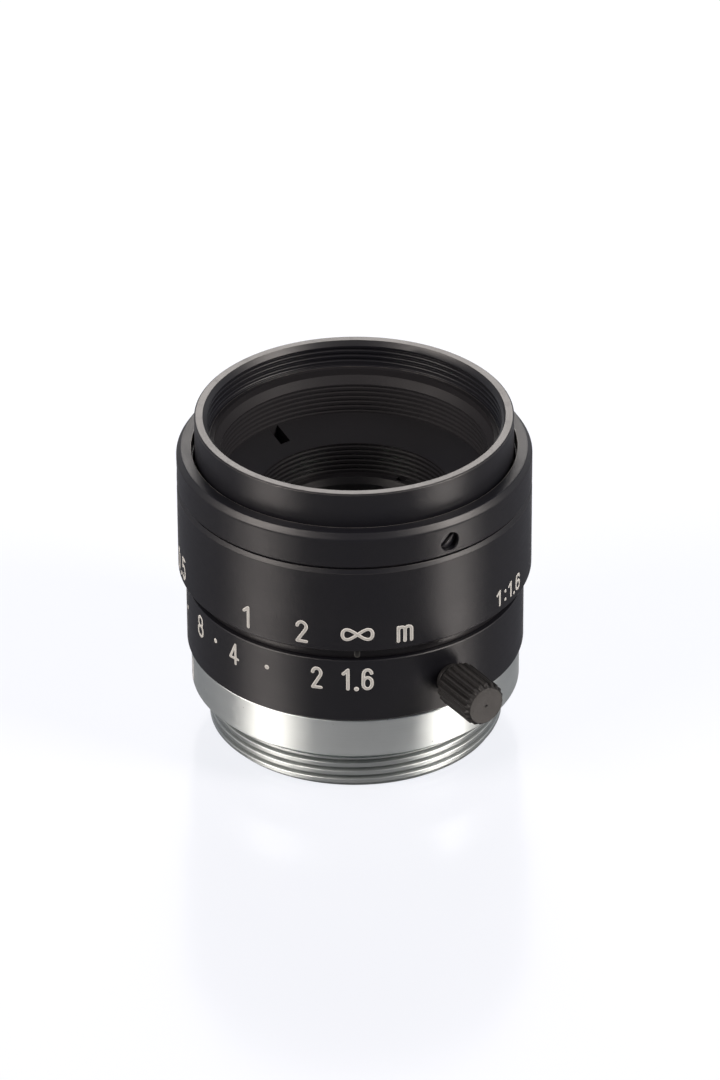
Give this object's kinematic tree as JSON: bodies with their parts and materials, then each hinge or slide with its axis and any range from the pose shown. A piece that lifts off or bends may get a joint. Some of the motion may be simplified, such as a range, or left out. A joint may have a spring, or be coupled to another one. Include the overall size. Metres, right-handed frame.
{
  "type": "machine vision lens",
  "caption": "Compact fixed-focal lens with a C-mount thread, a focus ring and a lockable iris ring, for industrial cameras.",
  "frame": {"origin": "centre of the flange plane, where the lens seats on a camera", "axes": "+Z forwards along the optical axis, out of the front of the lens; the scales' index faces -Y"},
  "size_m": [0.0304, 0.033, 0.0296],
  "materials": {
    "black_anodised": "satin black anodised aluminium with engraved pale figures",
    "inner_black": "matt black anodised aluminium, turned",
    "satin_chrome": "satin chrome plated brass, finely turned",
    "black_steel": "blackened steel screws and pins",
    "blade_black": "matt black spring steel",
    "coated_glass": "clear optical glass with an anti-reflection coating",
    "knurled_black": "blackened steel with a straight knurl",
    "nylon": "natural nylon",
    "brass_pin": "turned brass"
  },
  "bodies": {
    "mount": {"mount_ring": "satin_chrome", "fixed_barrel": "black_anodised", "guide_key": "brass_pin"},
    "optics": {"lens_barrel": "inner_black", "front_ring": "black_anodised", "front_cell": "inner_black", "front_retaining_ring": "inner_black", "front_element": "coated_glass", "front_spacer": "inner_black", "front_crown": "coated_glass", "front_flint": "coated_glass", "blade_plate": "inner_black", "rear_cell": "inner_black", "rear_cell_screws": "black_steel", "rear_flint": "coated_glass", "rear_crown": "coated_glass", "rear_spacer": "inner_black", "rear_element": "coated_glass", "rear_retaining_ring": "inner_black"},
    "focus_control": {"focus_ring": "black_anodised", "focus_stop_pin": "black_steel", "front_bezel": "black_anodised", "bezel_set_screws": "black_steel"},
    "iris_control": {"iris_ring": "black_anodised", "iris_drive_pin": "black_steel"},
    "lock_pad": {"iris_lock_pad": "nylon"},
    "lock_screw": {"iris_lock_screw": "knurled_black"},
    "iris_cam": {"iris_cam_ring": "brass_pin"},
    "blade_1": {"iris_blade_1": "blade_black"},
    "blade_2": {"iris_blade_2": "blade_black"},
    "blade_3": {"iris_blade_3": "blade_black"},
    "blade_4": {"iris_blade_4": "blade_black"},
    "blade_5": {"iris_blade_5": "blade_black"},
    "blade_6": {"iris_blade_6": "blade_black"}
  },
  "joints": [
    {"name": "optics_slide", "type": "slide", "parent": "mount", "child": "optics", "axis": [0, 0, 1], "range_m": [0, 0.00138]},
    {"name": "focus_turn", "type": "hinge", "parent": "optics", "child": "focus_control", "pos_m": [0, 0, 0.015], "axis": [0, 0, 1], "range_deg": [0, 80]},
    {"name": "iris_turn", "type": "hinge", "parent": "mount", "child": "iris_control", "pos_m": [0, 0, 0.0068], "axis": [0, 0, 1], "range_deg": [0, 92]},
    {"name": "lock_pad_slide", "type": "slide", "parent": "iris_control", "child": "lock_pad", "axis": [0.5476, -0.8368, 0], "range_m": [0, 0.00039999]},
    {"name": "lock_screw_turn", "type": "hinge", "parent": "lock_pad", "child": "lock_screw", "pos_m": [0.00827, -0.01264, 0.00675], "axis": [0.5476, -0.8368, 0], "range_deg": [0, 360]},
    {"name": "iris_cam_turn", "type": "hinge", "parent": "optics", "child": "iris_cam", "pos_m": [0, 0, 0.0062], "axis": [0, 0, 1], "range_deg": [0, 92]},
    {"name": "blade_1_swing", "type": "hinge", "parent": "optics", "child": "blade_1", "pos_m": [0.0099, 0, 0.0072], "axis": [0, 0, 1], "range_deg": [0, 29]},
    {"name": "blade_2_swing", "type": "hinge", "parent": "optics", "child": "blade_2", "pos_m": [0.00495, 0.00857, 0.0072], "axis": [0, 0, 1], "range_deg": [0, 29]},
    {"name": "blade_3_swing", "type": "hinge", "parent": "optics", "child": "blade_3", "pos_m": [-0.00495, 0.00857, 0.0072], "axis": [0, 0, 1], "range_deg": [0, 29]},
    {"name": "blade_4_swing", "type": "hinge", "parent": "optics", "child": "blade_4", "pos_m": [-0.0099, 0, 0.0072], "axis": [0, 0, 1], "range_deg": [0, 29]},
    {"name": "blade_5_swing", "type": "hinge", "parent": "optics", "child": "blade_5", "pos_m": [-0.00495, -0.00857, 0.0072], "axis": [0, 0, 1], "range_deg": [0, 29]},
    {"name": "blade_6_swing", "type": "hinge", "parent": "optics", "child": "blade_6", "pos_m": [0.00495, -0.00857, 0.0072], "axis": [0, 0, 1], "range_deg": [0, 29]}
  ],
  "couplings": [
    {"joint": "focus_turn", "follows": "optics_slide", "rad_per_m": 1013.4},
    {"joint": "iris_cam_turn", "follows": "iris_turn", "ratio": 1},
    {"joint": "lock_screw_turn", "follows": "lock_pad_slide", "rad_per_m": 15708},
    {"joint": "blade_1_swing", "follows": "iris_turn", "ratio": 0.31522},
    {"joint": "blade_2_swing", "follows": "iris_turn", "ratio": 0.31522},
    {"joint": "blade_3_swing", "follows": "iris_turn", "ratio": 0.31522},
    {"joint": "blade_4_swing", "follows": "iris_turn", "ratio": 0.31522},
    {"joint": "blade_5_swing", "follows": "iris_turn", "ratio": 0.31522},
    {"joint": "blade_6_swing", "follows": "iris_turn", "ratio": 0.31522}
  ]
}
